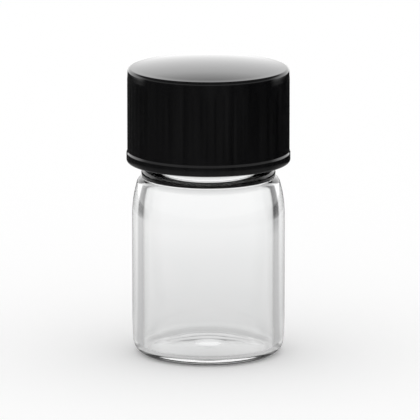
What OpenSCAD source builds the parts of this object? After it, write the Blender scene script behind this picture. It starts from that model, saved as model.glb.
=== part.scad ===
// Short clear-glass sample vial with a two-turn 15-425 style screw finish, closed by a glossy black
// moulded screw cap that holds a flat liner disc. +Z is up, the vial stands on Z = 0 on its own axis.

/* [Vial body] */
// Outer diameter of the straight wall
body_d = 16.7; // [16.4:0.05:17]
// Thickness of the straight wall
wall_t = 1.2; // [0.9:0.05:1.3]
// Height where the straight wall ends and the shoulder starts to draw in
shoulder_z = 15.3; // [14.9:0.1:15.6]
// Radius of the shoulder's long curve
taper_r = 13; // [12:0.2:14]
// Height of the mouth's rim above the surface that the vial stands on
mouth_z = 30; // [29.5:0.1:30.5]

/* [Vial base] */
// Outer radius of the rounded heel
heel_r = 1.6; // [1.2:0.1:2]
// How far the heel is drawn in from the straight wall
heel_draw = 0.08; // [0:0.01:0.2]
// Height where the drawn-in heel meets the straight wall
heel_z = 3.8; // [3:0.1:5]
// Thickness of the floor at its edge
floor_t = 0.9; // [0.8:0.05:1.3]
// Rise of the pushed-up centre under the base
push_up = 0.35; // [0.1:0.05:0.5]
// Rise of the floor's centre inside the vial
floor_rise = 0.3; // [0.1:0.05:0.5]

/* [Neck] */
// Diameter of the neck between its threads
neck_d = 13; // [12.9:0.05:13.2]
// Diameter of the bore through the neck
mouth_d = 10.6; // [10:0.1:10.8]
// Diameter of the round bead at the foot of the neck
bead_d = 14.64; // [14.5:0.02:14.76]
// Height of the bead's centre line
bead_z = 20.05; // [19.95:0.05:20.15]

/* [Thread] */
// Rise of the right-handed thread in one turn
pitch = 2.117; // [2.1:0.001:2.15]
// Turns of thread on the neck, and again in the cap
turns = 2; // [1.5:0.25:2]
// Height of the middle of the neck's thread where it starts
thread_z = 24.2; // [24:0.05:24.4]
// Outer diameter of the neck's thread
thread_d = 14.6; // [14.4:0.05:14.7]
// Inner diameter of the cap's thread
cap_thread_d = 13.6; // [13.4:0.05:13.8]

/* [Cap] */
// Outer diameter of the cap under its rounded rim
cap_d = 17.62; // [17.5:0.02:17.66]
// Outer diameter of the straight skirt
skirt_d = 17.72; // [17.68:0.02:17.78]
// Outer diameter of the bead round the skirt's foot
cap_bead_d = 17.9; // [17.8:0.02:18.2]
// Height of the skirt's lower edge above the surface that the vial stands on
cap_z = 21.27; // [21:0.01:21.5]
// Height of the cap from its lower edge to the crown of its top
cap_h = 11; // [10.9:0.05:11.2]
// Rise of the domed top
dome_h = 0.6; // [0.3:0.05:0.8]
// Inner diameter of the skirt between its threads
cap_bore_d = 15; // [14.9:0.02:15.1]
// Number of shallow grip flutes round the skirt
flutes = 60; // [40:2:72]
// Depth of each flute
flute_depth = 0.06; // [0.04:0.01:0.1]

/* [Liner] */
// Thickness of the liner disc
liner_t = 0.95; // [0.8:0.05:1]
// Diameter of the liner disc
liner_d = 14.7; // [14.2:0.05:14.8]

/* [Hidden] */
$fn = 128;

body_r = body_d / 2;
inner_r = body_r - wall_t;
neck_r = neck_d / 2;
mouth_r = mouth_d / 2;
// The shoulder's long curve ends in a tight one, and a small notch joins that to the neck's bead
corner_z = 19;
corner_r = 0.9;
notch_r = 0.15;
bead_section_r = 0.8;
bead_arc_end = 75;
bead_top_blend = 0.1;
taper_end = asin((corner_z - shoulder_z) / taper_r);
corner = [body_r - taper_r, shoulder_z] + (taper_r - corner_r) * [cos(taper_end), sin(taper_end)];
bead = [bead_d / 2 - bead_section_r, bead_z];
notch = between(corner, bead, corner_r + notch_r, bead_section_r + notch_r);
// Inside, a long curve draws the wall in under the shoulder, and a short one turns it up into the bore
inner_taper_z = 16.5;
inner_shoulder_r = 6.45;
inner_shoulder_z = 19.5;
throat_h = 0.8;
// Mouth rim
lip_outer_r = 0.5;
lip_inner_r = 0.35;
// The flat ring that the vial stands on lies between the heel and the push-up
heel_centre_r = body_r - heel_draw - heel_r;
standing_ring_w = 0.4;
push_up_r = heel_centre_r - standing_ring_w;
// The wall's inner foot turns almost level, then meets the floor in a crease
floor_corner_r = 0.85;
floor_corner_arc = 80;
floor_edge_r = inner_r - floor_corner_r * (1 - cos(floor_corner_arc));
// Low round swelling where the glass was closed, in the middle of the floor
navel_r = 2;
navel_h = 0.05;

crown_z = cap_z + cap_h;
rim_z = crown_z - dome_h;
rim_round = 0.35;
rim_arc = 82;
foot_round = 0.3;
cap_bead_h = 1.15;
cap_bead_slope = 0.1;
cap_bead_top_z = cap_z + cap_bead_h + cap_bead_slope;
liner_z = mouth_z;
ceiling_z = liner_z + liner_t;
cap_mouth_d = 15.3;
cap_mouth_h = 0.9;
// Flutes stop short of the bead and leave a smooth band under the rim
flute_section_r = 0.6;
flute_gap = 0.15;
flute_foot_z = cap_bead_top_z + flute_gap;
flute_top_z = rim_z - 1.3;

// Width of each thread's section at its foot and at its crest
neck_thread_w = [1.3, 0.5];
cap_thread_w = [1.15, 0.4];
// The cap's thread starts a quarter turn ahead of the neck's, and its flank stays just clear below it
cap_thread_start = -90;
flank_gap = 0.1;
flank_r = (thread_d + cap_thread_d) / 4;
cap_thread_drop = half_width(neck_r, thread_d / 2, neck_thread_w, flank_r)
    + half_width(cap_bore_d / 2, cap_thread_d / 2, cap_thread_w, flank_r) + flank_gap;
thread_step = 7.5;
thread_run_out = 40;
thread_sink = 0.2;
// Where the crest's rounding starts, as a share of the thread's height, and what width it leaves
crest_start = 0.8;
crest_flat = 0.55;

glass = [0.86, 0.88, 0.89, 0.45];
black_plastic = [0.05, 0.05, 0.055];
liner_white = [0.9, 0.9, 0.88];

// Points along an arc of radius r about [x, z], from angle a to angle b
function arc(x, z, r, a, b, n = 8) =
    [for (i = [0:n]) let (t = a + (b - a) * i / n) [x + r * cos(t), z + r * sin(t)]];

// Points along an elliptic arc with half-axes p and q about [x, z], from angle a to angle b
function elliptic_arc(x, z, p, q, a, b, n = 12) =
    [for (i = [0:n]) let (t = a + (b - a) * i / n) [x + p * cos(t), z + q * sin(t)]];

// A shallow crown: its height at radius x when it rises h above its rim of radius r
function crown(x, r, h) = h * (1 - pow(x / r, 2));
function crown_points(r, z, h, n = 8) = [for (i = [0:n]) let (x = r * i / n) [x, z + crown(x, r, h)]];

function reversed(points) = [for (i = [len(points) - 1:-1:0]) points[i]];
function without_first(points) = [for (i = [1:len(points) - 1]) points[i]];

// Angle in which point b lies from point a
function heading(a, b) = atan2(b[1] - a[1], b[0] - a[0]);

// The point on the outer side of the line from a to b at distances reach_a and reach_b from them
function between(a, b, reach_a, reach_b) = let (
        d = b - a,
        gap = norm(d),
        along = (pow(reach_a, 2) - pow(reach_b, 2) + pow(gap, 2)) / (2 * gap),
        aside = sqrt(pow(reach_a, 2) - pow(along, 2))
    ) a + (d * along + [d[1], -d[0]] * aside) / gap;

// Height that the middle of the floor swells by at radius x
function navel(x) = x < navel_r ? navel_h * (1 + cos(180 * x / navel_r)) / 2 : 0;

// Half the width at radius r of a thread section whose foot and crest are w[0] and w[1] wide
function half_width(foot, crest, w, r) = (w[0] + (w[1] - w[0]) * (r - foot) / (crest - foot)) / 2;

// Share of its full height that a thread has at angle a, which fades over its run-outs
function swell(a, sweep) = max(0.02, min(1, a / thread_run_out, (sweep - a) / thread_run_out));

// Helical ridge on a wall of radius foot. Its crest may be inside or outside the wall.
module thread(foot, crest, w, z, start, sweep) {
    steps = round(sweep / thread_step);
    corners = 6;
    outward = crest > foot;
    sunk = foot + (outward ? -thread_sink : thread_sink);
    function side(a) = let (s = swell(a, sweep), k = 0.4 + 0.6 * s, rise = (crest - foot) * s) [
        [sunk, k * half_width(foot, crest, w, sunk)],
        [foot + crest_start * rise, k * half_width(foot, crest, w, foot + crest_start * rise)],
        [foot + rise, k * crest_flat * half_width(foot, crest, w, foot + rise)]
    ];
    function section(a) = let (up = side(a), down = reversed(side(a)))
        concat([for (p = up) [p[0], -p[1]]], down);
    points = [
        for (i = [0:steps]) let (a = sweep * i / steps) for (p = section(a))
            [p[0] * cos(a + start), p[0] * sin(a + start), z + pitch * (a + start) / 360 + p[1]]
    ];
    walls = [
        for (i = [0:steps - 1]) for (j = [0:corners - 1]) let (
            k = (j + 1) % corners, here = i * corners, next = here + corners
        ) each [[here + j, here + k, next + k], [here + j, next + k, next + j]]
    ];
    ends = [
        [for (j = [corners - 1:-1:0]) j],
        [for (j = [0:corners - 1]) steps * corners + j]
    ];
    faces = concat(walls, ends);
    polyhedron(points, outward ? faces : [for (f = faces) reversed(f)], convexity = 8);
}

// One blown and tooled piece: pushed-up base, rounded heel, straight wall, shoulder, bead, threaded neck
module glass_vial() {
    outside = concat(
        crown_points(push_up_r, 0, push_up),
        arc(heel_centre_r, heel_r, heel_r, -90, 0),
        [[body_r, heel_z]],
        arc(body_r - taper_r, shoulder_z, taper_r, 0, taper_end),
        without_first(arc(corner[0], corner[1], corner_r, taper_end, heading(corner, notch))),
        without_first(arc(notch[0], notch[1], notch_r, heading(notch, corner) + 360, heading(notch, bead))),
        without_first(arc(bead[0], bead[1], bead_section_r, heading(bead, notch), bead_arc_end)),
        [[neck_r, bead_z + bead_section_r + bead_top_blend]],
        arc(neck_r - lip_outer_r, mouth_z - lip_outer_r, lip_outer_r, 0, 90)
    );
    floor_points = [for (p = crown_points(floor_edge_r, floor_t, floor_rise, 20)) p + [0, navel(p[0])]];
    inside = concat(
        arc(mouth_r + lip_inner_r, mouth_z - lip_inner_r, lip_inner_r, 90, 180),
        elliptic_arc(inner_shoulder_r, inner_shoulder_z + throat_h, inner_shoulder_r - mouth_r, throat_h,
            180, 270),
        without_first(elliptic_arc(inner_shoulder_r, inner_taper_z, inner_r - inner_shoulder_r,
            inner_shoulder_z - inner_taper_z, 90, 0)),
        arc(inner_r - floor_corner_r, floor_t + floor_corner_r * sin(floor_corner_arc), floor_corner_r,
            0, -floor_corner_arc),
        without_first(reversed(floor_points))
    );
    color(glass) {
        rotate_extrude() polygon(concat(outside, inside));
        thread(neck_r, thread_d / 2, neck_thread_w, thread_z, 0, turns * 360);
    }
}

// Shallow upright grooves between the skirt's bead and the smooth band under its rim
module grip_flutes() {
    for (i = [0:flutes - 1])
        rotate([0, 0, i * 360 / flutes])
            translate([skirt_d / 2 - flute_depth + flute_section_r, 0, flute_foot_z])
                cylinder(r = flute_section_r, h = flute_top_z - flute_foot_z, $fn = 48);
}

// One moulded piece: domed top, fluted skirt with a bead round its foot, threaded hollow
module screw_cap() {
    top_r = cap_d / 2;
    bead_r = cap_bead_d / 2;
    outside = concat(
        arc(bead_r - foot_round, cap_z + foot_round, foot_round, -90, 0),
        [[bead_r, cap_bead_top_z - 2 * cap_bead_slope], [skirt_d / 2, cap_bead_top_z]],
        [[skirt_d / 2, flute_top_z + flute_gap]],
        arc(top_r - rim_round, rim_z - rim_round, rim_round, 0, rim_arc),
        reversed(crown_points(top_r - rim_round, rim_z, dome_h))
    );
    hollow = [
        [0, ceiling_z],
        [cap_bore_d / 2, ceiling_z],
        [cap_bore_d / 2, cap_z + cap_mouth_h],
        [cap_mouth_d / 2, cap_z]
    ];
    color(black_plastic) {
        difference() {
            rotate_extrude() polygon(concat(outside, hollow));
            grip_flutes();
        }
        thread(cap_bore_d / 2, cap_thread_d / 2, cap_thread_w, thread_z - cap_thread_drop,
            cap_thread_start, turns * 360);
    }
}

// Flat disc that seals on the mouth's rim
module cap_liner() {
    color(liner_white) translate([0, 0, liner_z]) cylinder(d = liner_d, h = liner_t);
}

glass_vial();
screw_cap();
cap_liner();
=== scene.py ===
"""Glass sample vial with a black screw cap, seen from slightly above on a pale board.

Lengths are in metres. A profile is a list of (radius, height) pairs that lathe() turns about the vial's
axis. Numbers of points in arcs and straights only set how fine the mesh is.
"""
import math

import bpy
import numpy as np
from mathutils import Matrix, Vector


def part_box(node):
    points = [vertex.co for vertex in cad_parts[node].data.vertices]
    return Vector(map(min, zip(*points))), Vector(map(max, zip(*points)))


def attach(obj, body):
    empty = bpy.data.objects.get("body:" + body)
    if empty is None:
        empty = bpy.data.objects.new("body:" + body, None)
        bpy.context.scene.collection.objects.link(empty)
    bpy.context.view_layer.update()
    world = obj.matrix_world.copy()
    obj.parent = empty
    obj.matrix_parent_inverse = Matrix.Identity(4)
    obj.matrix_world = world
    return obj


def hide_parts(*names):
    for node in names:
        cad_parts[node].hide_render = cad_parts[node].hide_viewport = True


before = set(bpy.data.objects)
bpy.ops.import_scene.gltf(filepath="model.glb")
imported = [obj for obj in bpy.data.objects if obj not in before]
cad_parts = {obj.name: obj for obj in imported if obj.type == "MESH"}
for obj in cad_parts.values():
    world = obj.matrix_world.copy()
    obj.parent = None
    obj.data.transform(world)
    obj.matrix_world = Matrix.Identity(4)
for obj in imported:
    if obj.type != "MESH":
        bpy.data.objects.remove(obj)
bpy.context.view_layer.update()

MM = 0.001
TURN = 2 * math.pi

vial_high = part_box("glass_vial")[1]
cap_low, cap_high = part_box("screw_cap")
liner_low, liner_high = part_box("cap_liner")

# How near a ring's radius has to be to a wall's to belong to it
SAME_R = 0.001 * MM

# Vial, from the ring that it stands on up to its mouth
BODY_R = vial_high[0]
MOUTH_Z = vial_high[2]
WALL = 1.2 * MM
INNER_R = BODY_R - WALL
HEEL_R = 1.6 * MM
HEEL_DRAW = 0.08 * MM
HEEL_Z = 3.8 * MM
STANDING_RING = 0.4 * MM
PUSH_UP = 0.35 * MM
FLOOR_T = 0.9 * MM
FLOOR_RISE = 0.3 * MM
FLOOR_CORNER_R = 0.45 * MM
FLOOR_CORNER_ARC = 80
NAVEL_R = 2 * MM
NAVEL_H = 0.05 * MM
SHOULDER_Z = 15.3 * MM
TAPER_R = 13 * MM
CORNER_Z = 19 * MM
CORNER_R = 0.9 * MM
NOTCH_R = 0.15 * MM
BEAD_R = 7.32 * MM
BEAD_Z = 20.05 * MM
BEAD_SECTION_R = 0.8 * MM
BEAD_ARC_END = 75
BEAD_TOP_BLEND = 0.1 * MM
INNER_CORNER_R = 0.25 * MM
INNER_SHOULDER_Z = 19.65 * MM
THROAT_H = 0.65 * MM
NECK_R = 6.5 * MM
MOUTH_R = 5.3 * MM
LIP_OUTER_R = 0.5 * MM
LIP_INNER_R = 0.35 * MM
VIAL_COLUMNS = 256

# Screw thread on the neck and in the cap
PITCH = 2.117 * MM
TURNS = 2
THREAD_Z = 24.2 * MM
THREAD_R = 7.3 * MM
THREAD_FOOT_W = 1.3 * MM
THREAD_CREST_W = 0.5 * MM
RUN_OUT = math.radians(40)

# Cap
CAP_BEAD_R = cap_high[0]
CAP_FOOT_Z = cap_low[2]
CROWN_Z = cap_high[2]
DOME_H = 0.6 * MM
RIM_Z = CROWN_Z - DOME_H
RIM_R = 8.81 * MM
RIM_ROUND = 0.35 * MM
RIM_ARC = 82
SKIRT_R = 8.86 * MM
FOOT_ROUND = 0.3 * MM
CAP_BEAD_H = 1.15 * MM
CAP_BEAD_SLOPE = 0.1 * MM
CAP_BORE_R = 7.5 * MM
CAP_MOUTH_R = 7.65 * MM
CAP_MOUTH_H = 0.9 * MM
CEILING_Z = liner_high[2]
FLUTES = 60
FLUTE_DEPTH = 0.06 * MM
FLUTE_SECTION_R = 0.6 * MM
FLUTE_FOOT_GAP = 0.15 * MM
FLUTE_TOP_GAP = 1.3 * MM
FLUTE_FOOT_Z = CAP_FOOT_Z + CAP_BEAD_H + CAP_BEAD_SLOPE + FLUTE_FOOT_GAP
FLUTE_TOP_Z = RIM_Z - FLUTE_TOP_GAP
CAP_THREAD_R = 6.8 * MM
CAP_THREAD_FOOT_W = 1.15 * MM
CAP_THREAD_CREST_W = 0.4 * MM
CAP_THREAD_START = -TURN / 4
CAP_THREAD_DROP = 0.81 * MM
CAP_COLUMNS = 12 * FLUTES

# Liner
LINER_EDGE_R = 0.12 * MM
LINER_COLUMNS = 128

# Surfaces: colours, roughness, features to a metre of each grain with its stretch, and depths of relief
GLASS_IOR = 1.5
GLASS_COLOURS = (0.985, 0.99, 0.99), (1, 1, 1)
GLASS_ROUGHNESS = 0, 0.008
GLASS_HAZE_GRAIN = 260
GLASS_WAVE_GRAIN = 180, (1, 1, 0.5)
GLASS_LINE_GRAIN = 1500, (1, 1, 0.01)
CAP_IOR = 1.5
CAP_COLOURS = (0.0025, 0.0025, 0.0028), (0.0065, 0.0065, 0.0068)
CAP_ROUGHNESS = 0.05, 0.09
CAP_FLOW_GRAIN = 900, (1, 1, 0.08)
CAP_POLISH_GRAIN = 400
CAP_PEEL_GRAIN = 2600
LINER_COLOURS = (0.76, 0.755, 0.73), (0.84, 0.84, 0.82)
LINER_ROUGHNESS = 0.55, 0.72
LINER_CELL_GRAIN = 5000
LINER_PATCH_GRAIN = 500
NOISE_LOW = 0.3
NOISE_HIGH = 0.7
GLASS_WAVE = 0.004 * MM
GLASS_LINE = 0.0003 * MM
CAP_PEEL = 0.0012 * MM
CAP_FLOW = 0.0008 * MM
LINER_CELL = 0.02 * MM

# Studio. A grey is a radiance, where 1 is white, a distance is from the vial's axis, and a height of sky is
# the sine of its elevation. Ramps hold greys up to RAMP_TOP and distances up to BOARD_REACH. The camera and
# the light on matt surfaces have the plain board and a plain white world. Only refracted and reflected rays
# see the greys below, which are painted reflections and painted shade, not the light of the plain white
# world.
FLOOR_HALF = 3
BOARD = 0.93
RAMP_TOP = 2
BOARD_REACH = 0.25
# Seen through clear surfaces: the board with a painted shadow that darkens it towards the vial, painted
# shade in its corners behind the vial, and a painted sky over both, bright low and dark high, with painted
# shade in its corners too. The corners fade in and out between cosines of the angle from straight back.
PAINTED_BOARD_SHADE = [
    (0, 0.5), (0.006, 0.52), (0.009, 0.64), (0.016, 0.705), (0.0345, 0.8), (0.048, 0.85), (0.058, 0.905),
    (0.0685, 0.95), (0.08, 0.97), (0.1, 0.98), (0.11, 1.01), (0.25, 1.1),
]
LEFT_PAINTED_SHADE = [
    (0, 0.58), (0.012, 0.53), (0.03, 0.545), (0.045, 0.565), (0.058, 0.585), (0.07, 0.62), (0.08, 0.58),
    (0.09, 0.38), (0.1, 0.27), (0.25, 0.23),
]
RIGHT_PAINTED_SHADE = [
    (0, 0.56), (0.012, 0.51), (0.03, 0.52), (0.045, 0.535), (0.058, 0.55), (0.066, 0.56), (0.074, 0.4),
    (0.086, 0.2), (0.1, 0.12), (0.25, 0.08),
]
PAINTED_SHADE_FROM = 0.2, 0.4
PAINTED_SHADE_TO = 0.894, 0.81
PAINTED_SKY_SEEN = [(-1, 1.05), (0.42, 1.05), (0.54, 0.2), (1, 0.2)]
LEFT_PAINTED_SKY_SHADE = 0.12
RIGHT_PAINTED_SKY_SHADE = 0.05
SIDES_MEET = 0, MM
# Seen in reflections, all painted: a painted dark front from left to right, painted shade on the floor near
# the vial, a painted bright floor far behind it, and a painted sky behind and over the rest of the room,
# bright low and dark high.
PAINTED_FRONT_SHADE = [(-1, 0.02), (-0.5, 0.035), (0, 0.06), (0.4, 0.03), (0.6, 0), (1, 0)]
NEAR_FRONT_PAINTED_SHADE = 0.2
NEAR_BACK_PAINTED_SHADE = 0.45
NEAR_TO = 0.088, 0.098
PAINTED_FAR_REFLECTION = 1.6
BEHIND_FROM = 0.2, 0.35
TURN_TO_BACK = 0.1, 0.5
PAINTED_BACK_SKY = [(-1, 1.6), (0, 1.65), (0.34, 1.5), (0.42, 1.05), (0.52, 0.12), (1, 0.1)]
PAINTED_ROOM_SKY = [(-1, 0.5), (0.34, 0.5), (0.42, 0.4), (0.52, 0.1), (1, 0.1)]

# Camera
AIM = Vector((0.17 * MM, 0, 15.8 * MM))
CAMERA_DISTANCE = 0.7
CAMERA_ELEVATION = math.radians(12.06)
LENS = 548.6
SENSOR = 36
CLIP = 0.01, 20


def arc(r, z, radius, start, end, n=16):
    """Points along an arc of the given radius about (r, z), with its angles in degrees."""
    angles = np.radians(np.linspace(start, end, n + 1))
    return [(r + radius * math.cos(a), z + radius * math.sin(a)) for a in angles]


def elliptic_arc(r, z, half_r, half_z, start, end, n=40):
    """Points along an elliptic arc about (r, z), with its angles in degrees."""
    angles = np.radians(np.linspace(start, end, n + 1))
    return [(r + half_r * math.cos(a), z + half_z * math.sin(a)) for a in angles]


def straight(start, end, n):
    """Points between two profile points, without the points themselves."""
    return [
        (start[0] + (end[0] - start[0]) * i / n, start[1] + (end[1] - start[1]) * i / n)
        for i in range(1, n)
    ]


def crown(radius, z, height, n=24):
    """Points from the axis out to radius, along a crown that stands height above its rim."""
    return [(radius * i / n, z + height * (1 - (i / n) ** 2)) for i in range(n + 1)]


def smooth_step(x):
    """0 below 0, 1 above 1, and smooth between them."""
    x = np.clip(x, 0, 1)
    return x * x * (3 - 2 * x)


def thread_height(z, angle, start_z, start, foot_w, crest_w):
    """Share of its full height, 0 to 1, that a helical thread has at each height and angle."""
    share = np.zeros_like(z)
    sweep = TURNS * TURN
    for turn in range(-1, TURNS + 1):
        along = angle + turn * TURN - start
        inside = (along >= 0) & (along <= sweep)
        middle = start_z + PITCH * (along + start) / TURN
        flank = (foot_w / 2 - np.abs(z - middle)) / ((foot_w - crest_w) / 2)
        fade = np.minimum(along, sweep - along) / RUN_OUT
        share = np.maximum(share, np.where(inside, smooth_step(flank) * smooth_step(fade), 0))
    return share


def lathe(name, profile, columns, shape=None):
    """A closed mesh of revolution whose profile starts and ends on the axis.

    shape() may move the radius of any point.
    """
    rings = profile[1:-1]
    angles = np.arange(columns) * TURN / columns
    radius = np.repeat([p[0] for p in rings], columns).reshape(len(rings), columns)
    height = np.repeat([p[1] for p in rings], columns).reshape(len(rings), columns)
    angle = np.tile(angles, (len(rings), 1))
    if shape:
        radius = shape(radius, height, angle)
    points = np.stack([radius * np.cos(angle), radius * np.sin(angle), height], axis=-1).reshape(-1, 3)
    points = np.vstack([points, [0, 0, profile[0][1]], [0, 0, profile[-1][1]]])
    first, last = len(points) - 2, len(points) - 1
    here = np.arange(len(rings) - 1)[:, None] * columns + np.arange(columns)
    beside = np.arange(len(rings) - 1)[:, None] * columns + (np.arange(columns) + 1) % columns
    quads = np.stack([here, beside, beside + columns, here + columns], axis=-1).reshape(-1, 4)
    top = (len(rings) - 1) * columns
    caps = []
    for i in range(columns):
        j = (i + 1) % columns
        caps.append((first, j, i))
        caps.append((last, top + i, top + j))
    mesh = bpy.data.meshes.new(name)
    mesh.from_pydata(points.tolist(), [], quads.tolist() + caps)
    mesh.polygons.foreach_set("use_smooth", np.ones(len(mesh.polygons), bool))
    mesh.update()
    piece = bpy.data.objects.new(name, mesh)
    bpy.context.scene.collection.objects.link(piece)
    return piece


def between(a, b, reach_a, reach_b):
    """The point on the outer side of the line from a to b, at distances reach_a and reach_b from them."""
    across, up = b[0] - a[0], b[1] - a[1]
    gap = math.hypot(across, up)
    along = (reach_a ** 2 - reach_b ** 2 + gap ** 2) / (2 * gap)
    aside = math.sqrt(reach_a ** 2 - along ** 2)
    return (a[0] + (across * along + up * aside) / gap, a[1] + (up * along - across * aside) / gap)


def heading(a, b):
    """Angle in degrees in which point b lies from point a."""
    return math.degrees(math.atan2(b[1] - a[1], b[0] - a[0]))


def glass_profile():
    """The glass from the middle of its underside out and up to the mouth, then down inside to its floor.

    The inner wall keeps its distance from the outer one up the taper.
    """
    heel_centre_r = BODY_R - HEEL_DRAW - HEEL_R
    wall_foot = (BODY_R - HEEL_DRAW, HEEL_R)
    heel_top = (BODY_R, HEEL_Z)
    wall_top = (BODY_R, SHOULDER_Z)
    taper_end = math.degrees(math.asin((CORNER_Z - SHOULDER_Z) / TAPER_R))
    lean = math.radians(taper_end)
    corner = (
        BODY_R - TAPER_R + (TAPER_R - CORNER_R) * math.cos(lean),
        SHOULDER_Z + (TAPER_R - CORNER_R) * math.sin(lean),
    )
    bead = (BEAD_R - BEAD_SECTION_R, BEAD_Z)
    notch = between(corner, bead, CORNER_R + NOTCH_R, BEAD_SECTION_R + NOTCH_R)
    neck_foot = (NECK_R, BEAD_Z + BEAD_SECTION_R + BEAD_TOP_BLEND)
    lip_foot = (NECK_R, MOUTH_Z - LIP_OUTER_R)
    outside = (
        crown(heel_centre_r - STANDING_RING, 0, PUSH_UP, 40)
        + arc(heel_centre_r, HEEL_R, HEEL_R, -90, 0, 24)
        + straight(wall_foot, heel_top, 6) + [heel_top] + straight(heel_top, wall_top, 12)
        + arc(BODY_R - TAPER_R, SHOULDER_Z, TAPER_R, 0, taper_end, 24)
        + arc(*corner, CORNER_R, taper_end, heading(corner, notch), 16)[1:]
        + arc(*notch, NOTCH_R, heading(notch, corner) + 360, heading(notch, bead), 12)[1:]
        + arc(*bead, BEAD_SECTION_R, heading(bead, notch), BEAD_ARC_END, 20)[1:]
        + [neck_foot] + straight(neck_foot, lip_foot, 48)
        + arc(NECK_R - LIP_OUTER_R, MOUTH_Z - LIP_OUTER_R, LIP_OUTER_R, 0, 90, 10)
    )
    bore_top = (MOUTH_R, MOUTH_Z - LIP_INNER_R)
    bore_foot = (MOUTH_R, INNER_SHOULDER_Z + THROAT_H)
    inner_wall_top = (INNER_R, SHOULDER_Z)
    inner_taper_r = TAPER_R - WALL
    inner_corner_z = INNER_SHOULDER_Z - INNER_CORNER_R
    inner_reach = inner_taper_r - INNER_CORNER_R
    inner_lean = math.asin((inner_corner_z - SHOULDER_Z) / inner_reach)
    inner_taper_end = math.degrees(inner_lean)
    shoulder_r = BODY_R - TAPER_R + inner_reach * math.cos(inner_lean)
    turn = math.radians(FLOOR_CORNER_ARC)
    corner_z = FLOOR_T + FLOOR_CORNER_R * math.sin(turn)
    floor_edge_r = INNER_R - FLOOR_CORNER_R * (1 - math.cos(turn))
    floor = [(r, z + navel(r)) for r, z in crown(floor_edge_r, FLOOR_T, FLOOR_RISE, 48)]
    inside = (
        arc(MOUTH_R + LIP_INNER_R, MOUTH_Z - LIP_INNER_R, LIP_INNER_R, 90, 180, 10)
        + straight(bore_top, bore_foot, 10)
        + elliptic_arc(shoulder_r, bore_foot[1], shoulder_r - MOUTH_R, THROAT_H, 180, 270, 16)
        + arc(shoulder_r, inner_corner_z, INNER_CORNER_R, 90, inner_taper_end, 12)[1:]
        + arc(BODY_R - TAPER_R, SHOULDER_Z, inner_taper_r, inner_taper_end, 0, 32)[1:]
        + straight(inner_wall_top, (INNER_R, corner_z), 12)
        + arc(INNER_R - FLOOR_CORNER_R, corner_z, FLOOR_CORNER_R, 0, -FLOOR_CORNER_ARC, 20)
        + floor[::-1][1:]
    )
    return outside + inside


def navel(r):
    """Height that the middle of the floor swells by at radius r."""
    return NAVEL_H * (1 + math.cos(math.pi * r / NAVEL_R)) / 2 if r < NAVEL_R else 0


def glass_shape(radius, height, angle):
    """Adds the thread to the neck's outer wall."""
    neck = (np.abs(radius - NECK_R) < SAME_R) & (height > BEAD_Z + BEAD_SECTION_R)
    share = thread_height(height, angle, THREAD_Z, 0, THREAD_FOOT_W, THREAD_CREST_W)
    return radius + np.where(neck, share * (THREAD_R - NECK_R), 0)


def rounded(edge, foot):
    """The step from a bead's edge in to the foot of the wall above it, with both corners held crisp."""
    hold = CAP_BEAD_SLOPE / 5
    lean = math.atan2(foot[1] - edge[1], foot[0] - edge[0])
    across, up = hold * math.cos(lean), hold * math.sin(lean)
    return [
        (edge[0], edge[1] - 2 * hold), (edge[0], edge[1] - hold), (edge[0] + across, edge[1] + up),
        (foot[0] - across, foot[1] - up), (foot[0], foot[1] + hold), (foot[0], foot[1] + 2 * hold),
    ]


def cap_profile():
    """The cap from the middle of its ceiling down the bore, out under its foot and up to the top."""
    bead_edge = (CAP_BEAD_R, CAP_FOOT_Z + CAP_BEAD_H - CAP_BEAD_SLOPE)
    bead_top = (SKIRT_R, CAP_FOOT_Z + CAP_BEAD_H + CAP_BEAD_SLOPE)
    flute_foot = (SKIRT_R, FLUTE_FOOT_Z)
    flute_top = (SKIRT_R, FLUTE_TOP_Z)
    rim_foot = (RIM_R, RIM_Z - RIM_ROUND)
    outside = (
        arc(CAP_BEAD_R - FOOT_ROUND, CAP_FOOT_Z + FOOT_ROUND, FOOT_ROUND, -90, 0, 8)
        + rounded(bead_edge, bead_top)
        + [flute_foot] + straight(flute_foot, flute_top, 16) + [flute_top]
        + straight(flute_top, rim_foot, 3)
        + arc(RIM_R - RIM_ROUND, RIM_Z - RIM_ROUND, RIM_ROUND, 0, RIM_ARC, 8)
        + crown(RIM_R - RIM_ROUND, RIM_Z, DOME_H, 12)[::-1]
    )
    bore_top = (CAP_BORE_R, CEILING_Z)
    bore_foot = (CAP_BORE_R, CAP_FOOT_Z + CAP_MOUTH_H)
    hollow = (
        [(0, CEILING_Z)] + straight((0, CEILING_Z), bore_top, 4) + [bore_top]
        + straight(bore_top, bore_foot, 56) + [bore_foot, (CAP_MOUTH_R, CAP_FOOT_Z)]
    )
    return hollow + outside


def cap_shape(radius, height, angle):
    """Cuts the grip flutes into the skirt and adds the thread to the bore."""
    skirt = (np.abs(radius - SKIRT_R) < SAME_R) & (height > FLUTE_FOOT_Z) & (height < FLUTE_TOP_Z)
    pitch = TURN / FLUTES
    across = SKIRT_R * ((angle + pitch / 2) % pitch - pitch / 2)
    depth = FLUTE_DEPTH - across ** 2 / (2 * FLUTE_SECTION_R)
    bore = np.abs(radius - CAP_BORE_R) < SAME_R
    share = thread_height(
        height, angle, THREAD_Z - CAP_THREAD_DROP, CAP_THREAD_START, CAP_THREAD_FOOT_W, CAP_THREAD_CREST_W
    )
    radius = radius - np.where(skirt, np.maximum(depth, 0), 0)
    return radius - np.where(bore, share * (CAP_BORE_R - CAP_THREAD_R), 0)


def liner_profile():
    """The disc from the middle of its underside round its edge to the middle of its top."""
    low, high, radius, edge = liner_low[2], liner_high[2], liner_high[0], LINER_EDGE_R
    return (
        [(0, low)] + straight((0, low), (radius - edge, low), 12)
        + arc(radius - edge, low + edge, edge, -90, 0, 4)
        + arc(radius - edge, high - edge, edge, 0, 90, 4)
        + straight((radius - edge, high), (0, high), 12) + [(0, high)]
    )


def new_material(name):
    """A material with its node tree and its shader."""
    material = bpy.data.materials.new(name)
    material.use_nodes = True
    return material, material.node_tree, material.node_tree.nodes["Principled BSDF"]


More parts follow.
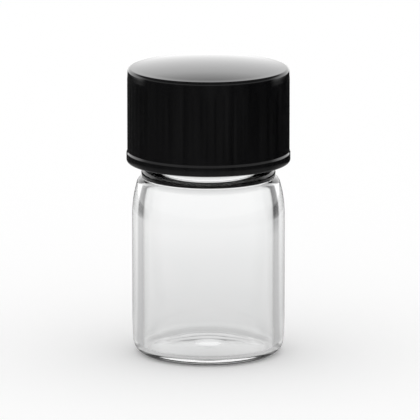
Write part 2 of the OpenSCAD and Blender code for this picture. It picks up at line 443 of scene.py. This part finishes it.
def grain(tree, scale, stretch=(1, 1, 1), detail=2):
    """Noise, 0 to 1, fixed to the piece, with scale features to a metre."""
    place = tree.nodes.new("ShaderNodeTexCoord")
    mapping = tree.nodes.new("ShaderNodeMapping")
    mapping.inputs["Scale"].default_value = stretch
    noise = tree.nodes.new("ShaderNodeTexNoise")
    noise.inputs["Scale"].default_value = scale
    noise.inputs["Detail"].default_value = detail
    tree.links.new(place.outputs["Object"], mapping.inputs["Vector"])
    tree.links.new(mapping.outputs["Vector"], noise.inputs["Vector"])
    return noise.outputs["Fac"]


def spread(tree, share, low, high):
    """Maps the middle of a noise's range to low to high."""
    node = tree.nodes.new("ShaderNodeMapRange")
    node.inputs["From Min"].default_value = NOISE_LOW
    node.inputs["From Max"].default_value = NOISE_HIGH
    node.inputs["To Min"].default_value = low
    node.inputs["To Max"].default_value = high
    tree.links.new(share, node.inputs["Value"])
    return node.outputs["Result"]


def tint(tree, share, first, second):
    """A colour between first and second."""
    node = tree.nodes.new("ShaderNodeMix")
    node.data_type = "RGBA"
    node.inputs[6].default_value = (*first, 1)
    node.inputs[7].default_value = (*second, 1)
    tree.links.new(spread(tree, share, 0, 1), node.inputs[0])
    return node.outputs[2]


def relief(tree, shader, *layers):
    """Stacks (height, depth in metres) layers of bump under a shader."""
    normal = None
    for height, depth in layers:
        node = tree.nodes.new("ShaderNodeBump")
        node.inputs["Distance"].default_value = depth
        tree.links.new(height, node.inputs["Height"])
        if normal:
            tree.links.new(normal, node.inputs["Normal"])
        normal = node.outputs["Normal"]
    tree.links.new(normal, shader.inputs["Normal"])


def glass_material():
    """Clear glass with the faint drawing lines and soft waves of tubing, and a trace of haze."""
    material, tree, shader = new_material("clear_glass")
    shader.inputs["Transmission Weight"].default_value = 1
    shader.inputs["IOR"].default_value = GLASS_IOR
    haze = grain(tree, GLASS_HAZE_GRAIN, detail=3)
    tree.links.new(tint(tree, haze, *GLASS_COLOURS), shader.inputs["Base Color"])
    tree.links.new(spread(tree, haze, *GLASS_ROUGHNESS), shader.inputs["Roughness"])
    waves = grain(tree, *GLASS_WAVE_GRAIN)
    lines = grain(tree, *GLASS_LINE_GRAIN)
    relief(tree, shader, (waves, GLASS_WAVE), (lines, GLASS_LINE))
    return material


def cap_material():
    """Glossy black moulded plastic with a slight orange peel, flow streaks and uneven polish."""
    material, tree, shader = new_material("black_plastic")
    shader.inputs["IOR"].default_value = CAP_IOR
    flow = grain(tree, *CAP_FLOW_GRAIN, detail=3)
    patches = grain(tree, CAP_POLISH_GRAIN, detail=4)
    peel = grain(tree, CAP_PEEL_GRAIN)
    tree.links.new(tint(tree, flow, *CAP_COLOURS), shader.inputs["Base Color"])
    tree.links.new(spread(tree, patches, *CAP_ROUGHNESS), shader.inputs["Roughness"])
    relief(tree, shader, (peel, CAP_PEEL), (flow, CAP_FLOW))
    return material


def liner_material():
    """Off-white foam disc with fine cells."""
    material, tree, shader = new_material("white_liner")
    cells = grain(tree, LINER_CELL_GRAIN, detail=3)
    patches = grain(tree, LINER_PATCH_GRAIN, detail=3)
    tree.links.new(tint(tree, patches, *LINER_COLOURS), shader.inputs["Base Color"])
    tree.links.new(spread(tree, cells, *LINER_ROUGHNESS), shader.inputs["Roughness"])
    relief(tree, shader, (cells, LINER_CELL))
    return material


def grey_colour(grey):
    """A grey as a ramp or a mix holds it, below 1."""
    return (grey / RAMP_TOP, grey / RAMP_TOP, grey / RAMP_TOP, 1)


def ramp(tree, value, low, high, stops):
    """A grey that follows value through (value, grey) stops between low and high."""
    share = tree.nodes.new("ShaderNodeMapRange")
    share.inputs["From Min"].default_value = low
    share.inputs["From Max"].default_value = high
    tree.links.new(value, share.inputs["Value"])
    node = tree.nodes.new("ShaderNodeValToRGB")
    elements = node.color_ramp.elements
    while len(elements) < len(stops):
        elements.new(0.5)
    for element, (at, grey) in zip(elements, stops):
        element.position = (at - low) / (high - low)
        element.color = grey_colour(grey)
    tree.links.new(share.outputs[0], node.inputs[0])
    return node.outputs[0]


def blend(tree, share, first, second):
    """Greys first and second mixed by share, 0 to 1."""
    node = tree.nodes.new("ShaderNodeMix")
    node.data_type = "RGBA"
    tree.links.new(share, node.inputs[0])
    for grey, socket in ((first, node.inputs[6]), (second, node.inputs[7])):
        if isinstance(grey, (int, float)):
            socket.default_value = grey_colour(grey)
        else:
            tree.links.new(grey, socket)
    return node.outputs[2]


def step(tree, value, low, high):
    """0 below low, 1 above high, and smooth between them."""
    node = tree.nodes.new("ShaderNodeMapRange")
    node.interpolation_type = "SMOOTHSTEP"
    node.inputs["From Min"].default_value = low
    node.inputs["From Max"].default_value = high
    tree.links.new(value, node.inputs["Value"])
    return node.outputs[0]


def sums(tree, operation, *values):
    """One step of arithmetic on numbers and sockets."""
    node = tree.nodes.new("ShaderNodeMath")
    node.operation = operation
    for socket, value in zip(node.inputs, values):
        if isinstance(value, (int, float)):
            socket.default_value = value
        else:
            tree.links.new(value, socket)
    return node.outputs[0]


def in_painted_shade(tree, x, y):
    """Share of the painted shade in the corners behind the vial, 0 to 1, in the direction (x, y)."""
    square = sums(tree, "ADD", sums(tree, "MULTIPLY", x, x), sums(tree, "MULTIPLY", y, y))
    cosine = sums(tree, "DIVIDE", y, sums(tree, "SQRT", square))
    return sums(tree, "MULTIPLY", step(tree, cosine, *PAINTED_SHADE_TO), step(tree, cosine, *PAINTED_SHADE_FROM))


def shown(tree, kind, plain, in_gloss, through_glass, output):
    """Sends plain to the output, and the painted greys, as a glow, to the rays that polished and clear
    surfaces send out.

    A refracted ray counts as glossy too, so the grey seen through glass comes last.
    """
    path = tree.nodes.new("ShaderNodeLightPath")
    for flag, grey in (("Is Glossy Ray", in_gloss), ("Is Transmission Ray", through_glass)):
        light = tree.nodes.new(kind)
        light.inputs["Strength"].default_value = RAMP_TOP
        tree.links.new(grey, light.inputs["Color"])
        mix = tree.nodes.new("ShaderNodeMixShader")
        tree.links.new(path.outputs[flag], mix.inputs[0])
        tree.links.new(plain, mix.inputs[1])
        tree.links.new(light.outputs[0], mix.inputs[2])
        plain = mix.outputs[0]
    tree.links.new(plain, output)


def board_material():
    """A pale board, which glass and reflections show with painted shade and painted reflections in place of
    its plain pale tone.
    """
    material, tree, shader = new_material("pale_board_painted_reflections")
    nodes, links = tree.nodes, tree.links
    nodes.remove(shader)
    place = nodes.new("ShaderNodeNewGeometry")
    split = nodes.new("ShaderNodeSeparateXYZ")
    links.new(place.outputs["Position"], split.inputs[0])
    x, y = split.outputs[0], split.outputs[1]
    square = sums(tree, "ADD", sums(tree, "MULTIPLY", x, x), sums(tree, "MULTIPLY", y, y))
    distance = sums(tree, "SQRT", square)
    # Painted shade seen through glass: the board darkens towards the vial and in the corners behind it.
    painted_board = ramp(tree, distance, 0, BOARD_REACH, PAINTED_BOARD_SHADE)
    left_painted_floor = ramp(tree, distance, 0, BOARD_REACH, LEFT_PAINTED_SHADE)
    right_painted_floor = ramp(tree, distance, 0, BOARD_REACH, RIGHT_PAINTED_SHADE)
    painted_shade_floor = blend(tree, step(tree, x, *SIDES_MEET), left_painted_floor, right_painted_floor)
    beside = sums(tree, "MAXIMUM", sums(tree, "SUBTRACT", sums(tree, "ABSOLUTE", x), INNER_R), 0)
    through_glass = blend(tree, in_painted_shade(tree, beside, y), painted_board, painted_shade_floor)
    # Painted reflections: a dark front, painted shade near the vial and a bright floor far behind.
    facing = sums(tree, "DIVIDE", y, distance)
    aside = sums(tree, "DIVIDE", x, distance)
    front = ramp(tree, aside, -1, 1, PAINTED_FRONT_SHADE)
    far = blend(tree, step(tree, distance, *BEHIND_FROM), front, PAINTED_FAR_REFLECTION)
    turned = step(tree, facing, *TURN_TO_BACK)
    side = blend(tree, turned, front, far)
    near = blend(tree, turned, NEAR_FRONT_PAINTED_SHADE, NEAR_BACK_PAINTED_SHADE)
    in_gloss = blend(tree, step(tree, distance, *NEAR_TO), near, side)
    board = nodes.new("ShaderNodeBsdfDiffuse")
    board.inputs["Color"].default_value = (BOARD, BOARD, BOARD, 1)
    lift = nodes.new("ShaderNodeEmission")
    lift.inputs["Strength"].default_value = 1 - BOARD
    both = nodes.new("ShaderNodeAddShader")
    links.new(board.outputs[0], both.inputs[0])
    links.new(lift.outputs[0], both.inputs[1])
    output = nodes["Material Output"].inputs["Surface"]
    shown(tree, "ShaderNodeEmission", both.outputs[0], in_gloss, through_glass, output)
    return material


def studio():
    """The floor and a plain white world, which is the light. The world also glows with painted greys, a
    painted sky and painted shade, seen only in glass and reflections.
    """
    mesh = bpy.data.meshes.new("floor")
    corners = [(-1, -1), (1, -1), (1, 1), (-1, 1)]
    mesh.from_pydata([(x * FLOOR_HALF, y * FLOOR_HALF, 0) for x, y in corners], [], [(0, 1, 2, 3)])
    floor = bpy.data.objects.new("floor", mesh)
    bpy.context.scene.collection.objects.link(floor)
    floor.data.materials.append(board_material())
    world = bpy.data.worlds.new("studio")
    world.use_nodes = True
    tree = world.node_tree
    background = tree.nodes["Background"]
    background.inputs["Color"].default_value = (1, 1, 1, 1)
    place = tree.nodes.new("ShaderNodeTexCoord")
    split = tree.nodes.new("ShaderNodeSeparateXYZ")
    tree.links.new(place.outputs["Generated"], split.inputs[0])
    # Painted sky seen through glass, bright low and dark high, with painted shade in its corners.
    painted_sky = ramp(tree, split.outputs[2], -1, 1, PAINTED_SKY_SEEN)
    painted_shade_sky = blend(tree, step(tree, split.outputs[0], *SIDES_MEET), LEFT_PAINTED_SKY_SHADE, RIGHT_PAINTED_SKY_SHADE)
    through_glass = blend(tree, in_painted_shade(tree, split.outputs[0], split.outputs[1]), painted_sky, painted_shade_sky)
    # Painted sky seen in reflections: bright behind and low, dark above and at the sides.
    painted_back_sky = ramp(tree, split.outputs[2], -1, 1, PAINTED_BACK_SKY)
    painted_room_sky = ramp(tree, split.outputs[2], -1, 1, PAINTED_ROOM_SKY)
    in_gloss = blend(tree, step(tree, split.outputs[1], *TURN_TO_BACK), painted_room_sky, painted_back_sky)
    output = tree.nodes["World Output"].inputs["Surface"]
    shown(tree, "ShaderNodeBackground", background.outputs[0], in_gloss, through_glass, output)
    bpy.context.scene.world = world


def camera():
    """The photograph's view: straight from the front and slightly above, from far off."""
    data = bpy.data.cameras.new("camera")
    data.lens = LENS
    data.sensor_width = SENSOR
    data.clip_start, data.clip_end = CLIP
    cam = bpy.data.objects.new("camera", data)
    bpy.context.scene.collection.objects.link(cam)
    back = Vector((0, -math.cos(CAMERA_ELEVATION), math.sin(CAMERA_ELEVATION)))
    cam.location = AIM + back * CAMERA_DISTANCE
    cam.rotation_mode = "QUATERNION"
    cam.rotation_quaternion = (-back).to_track_quat("-Z", "Y")
    bpy.context.scene.camera = cam


bpy.context.scene.view_settings.view_transform = "Standard"
camera()
studio()

vial = lathe("vial_glass", glass_profile(), VIAL_COLUMNS, glass_shape)
vial.data.materials.append(glass_material())
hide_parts("glass_vial")
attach(vial, "vial")

cap = lathe("cap_moulding", cap_profile(), CAP_COLUMNS, cap_shape)
cap.data.materials.append(cap_material())
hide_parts("screw_cap")
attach(cap, "cap")

liner = lathe("liner_disc", liner_profile(), LINER_COLUMNS)
liner.data.materials.append(liner_material())
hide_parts("cap_liner")
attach(liner, "liner")
